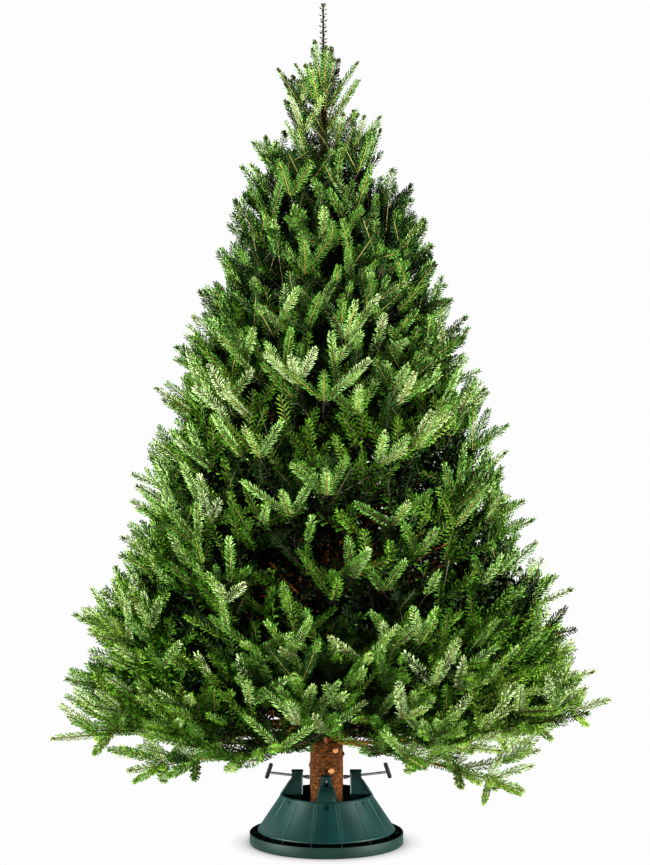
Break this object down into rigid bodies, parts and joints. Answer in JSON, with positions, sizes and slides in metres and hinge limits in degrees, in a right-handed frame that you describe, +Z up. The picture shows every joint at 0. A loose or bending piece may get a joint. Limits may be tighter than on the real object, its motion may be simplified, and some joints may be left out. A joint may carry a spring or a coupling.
{
  "type": "christmas tree",
  "caption": "Cut fir with a dense conical head of short-needled boughs, a bare leader and a short trunk clamped by screws in a conical green plastic stand.",
  "frame": {"origin": "centre of the stand's flat underside, on the floor", "axes": "+Z up along the trunk, -Y the front of the stand, +X to the right"},
  "size_m": [1.4771, 1.4964, 2.262],
  "materials": {
    "fir_needles": "short flat waxy needles, mid green above and pale bluish green beneath",
    "bark": "rough grey-brown fir bark, reddish tan on the thin boughs",
    "green_plastic": "injection moulded, dark blue-green, semi-gloss",
    "black_plastic": "moulded black grip bars with fine ribs",
    "zinc_steel": "bright zinc-plated threaded rod"
  },
  "bodies": {
    "root": {"bough_1": "bark", "bough_2": "bark", "bough_3": "bark", "bough_4": "bark", "bough_5": "bark", "bough_6": "bark", "bough_7": "bark", "bough_8": "bark", "foliage_crest_1": "fir_needles", "foliage_crest_2": "fir_needles", "foliage_high_1": "fir_needles", "foliage_high_2": "fir_needles", "foliage_higher_1": "fir_needles", "foliage_higher_2": "fir_needles", "foliage_low_1": "fir_needles", "foliage_low_2": "fir_needles", "foliage_low_3": "fir_needles", "foliage_low_4": "fir_needles", "foliage_low_5": "fir_needles", "foliage_low_6": "fir_needles", "foliage_lower_middle_1": "fir_needles", "foliage_lower_middle_2": "fir_needles", "foliage_lower_middle_3": "fir_needles", "foliage_lower_middle_4": "fir_needles", "foliage_lower_middle_5": "fir_needles", "foliage_middle_1": "fir_needles", "foliage_middle_2": "fir_needles", "foliage_middle_3": "fir_needles", "foliage_middle_4": "fir_needles", "foliage_skirt_1": "fir_needles", "foliage_skirt_2": "fir_needles", "foliage_skirt_3": "fir_needles", "foliage_skirt_4": "fir_needles", "foliage_skirt_5": "fir_needles", "foliage_skirt_6": "fir_needles", "foliage_skirt_7": "fir_needles", "foliage_skirt_8": "fir_needles", "foliage_upper_1": "fir_needles", "foliage_upper_2": "fir_needles", "foliage_upper_3": "fir_needles", "foliage_upper_middle_1": "fir_needles", "foliage_upper_middle_2": "fir_needles", "foliage_upper_middle_3": "fir_needles", "foliage_upper_middle_4": "fir_needles", "handle_back": "black_plastic", "handle_left": "black_plastic", "handle_right": "black_plastic", "screw_back": "zinc_steel", "screw_front": "zinc_steel", "screw_left": "zinc_steel", "screw_right": "zinc_steel", "stand_shell": "green_plastic", "stand_tray": "green_plastic", "stand_upright_back": "green_plastic", "stand_upright_front": "green_plastic", "stand_upright_left": "green_plastic", "stand_upright_right": "green_plastic", "trunk": "bark"}
  },
  "joints": []
}
